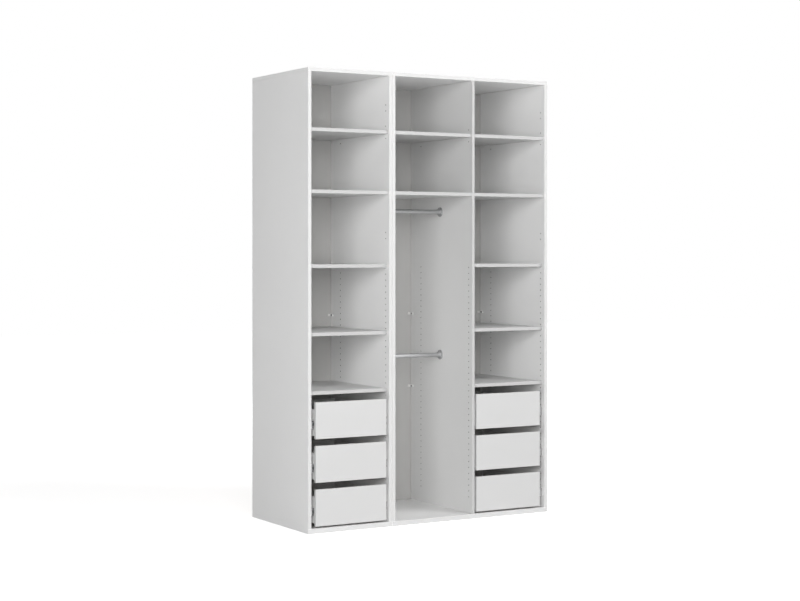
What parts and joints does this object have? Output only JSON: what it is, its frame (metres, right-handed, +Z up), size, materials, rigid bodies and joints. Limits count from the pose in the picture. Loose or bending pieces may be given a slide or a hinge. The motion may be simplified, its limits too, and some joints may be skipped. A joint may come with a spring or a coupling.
{
  "type": "open wardrobe body",
  "caption": "Tall free-standing white wardrobe body without doors: a narrow and a wide carcass side by side, with shelves, hanging rods and drawers on runners.",
  "frame": {"origin": "on the floor, under the middle of the body", "axes": "+X to the right seen from the front, -Y out of the open front, +Z up"},
  "size_m": [1.5, 0.66, 2.395],
  "materials": {
    "white_board": "white melamine-faced board, satin",
    "back_board": "white lacquered hardboard, matt",
    "drawer_board": "white foil-wrapped drawer board, satin",
    "chrome": "polished chrome plate",
    "zinc_steel": "bright zinc-plated steel",
    "white_plastic": "moulded white plastic",
    "grey_plastic": "moulded grey plastic",
    "black_plastic": "moulded black plastic"
  },
  "bodies": {
    "carcass": {"narrow_left_side": "white_board", "narrow_right_side": "white_board", "narrow_top": "white_board", "narrow_base": "white_board", "wide_left_side": "white_board", "wide_right_side": "white_board", "wide_top": "white_board", "wide_base": "white_board", "partition": "white_board", "narrow_back": "back_board", "wide_left_back": "back_board", "wide_right_back": "back_board", "left_top_shelf": "white_board", "left_fixed_shelf": "white_board", "middle_top_shelf": "white_board", "middle_fixed_shelf": "white_board", "right_top_shelf": "white_board", "right_fixed_shelf": "white_board", "left_upper_shelf": "white_board", "left_lower_shelf": "white_board", "left_drawer_shelf": "white_board", "right_upper_shelf": "white_board", "right_lower_shelf": "white_board", "right_drawer_shelf": "white_board", "upper_rod": "chrome", "lower_rod": "chrome", "upper_rod_left_socket": "chrome", "upper_rod_right_socket": "chrome", "lower_rod_left_socket": "chrome", "lower_rod_right_socket": "chrome", "left_drawer_1_left_runner": "zinc_steel", "left_drawer_1_right_runner": "zinc_steel", "left_drawer_2_left_runner": "zinc_steel", "left_drawer_2_right_runner": "zinc_steel", "left_drawer_3_left_runner": "zinc_steel", "left_drawer_3_right_runner": "zinc_steel", "right_drawer_1_left_runner": "zinc_steel", "right_drawer_1_right_runner": "zinc_steel", "right_drawer_2_left_runner": "zinc_steel", "right_drawer_2_right_runner": "zinc_steel", "right_drawer_3_left_runner": "zinc_steel", "right_drawer_3_right_runner": "zinc_steel"},
    "left_drawer_1": {"left_drawer_1_front": "white_board", "left_drawer_1_box": "drawer_board", "left_drawer_1_bottom": "back_board"},
    "left_drawer_2": {"left_drawer_2_front": "white_board", "left_drawer_2_box": "drawer_board", "left_drawer_2_bottom": "back_board"},
    "left_drawer_3": {"left_drawer_3_front": "white_board", "left_drawer_3_box": "drawer_board", "left_drawer_3_bottom": "back_board"},
    "right_drawer_1": {"right_drawer_1_front": "white_board", "right_drawer_1_box": "drawer_board", "right_drawer_1_bottom": "back_board"},
    "right_drawer_2": {"right_drawer_2_front": "white_board", "right_drawer_2_box": "drawer_board", "right_drawer_2_bottom": "back_board"},
    "right_drawer_3": {"right_drawer_3_front": "white_board", "right_drawer_3_box": "drawer_board", "right_drawer_3_bottom": "back_board"}
  },
  "joints": [
    {"name": "left_drawer_1_slide", "type": "slide", "parent": "carcass", "child": "left_drawer_1", "axis": [0, -1, 0], "range_m": [0, 0.4]},
    {"name": "left_drawer_2_slide", "type": "slide", "parent": "carcass", "child": "left_drawer_2", "axis": [0, -1, 0], "range_m": [0, 0.4]},
    {"name": "left_drawer_3_slide", "type": "slide", "parent": "carcass", "child": "left_drawer_3", "axis": [0, -1, 0], "range_m": [0, 0.4]},
    {"name": "right_drawer_1_slide", "type": "slide", "parent": "carcass", "child": "right_drawer_1", "axis": [0, -1, 0], "range_m": [0, 0.4]},
    {"name": "right_drawer_2_slide", "type": "slide", "parent": "carcass", "child": "right_drawer_2", "axis": [0, -1, 0], "range_m": [0, 0.4]},
    {"name": "right_drawer_3_slide", "type": "slide", "parent": "carcass", "child": "right_drawer_3", "axis": [0, -1, 0], "range_m": [0, 0.4]}
  ]
}
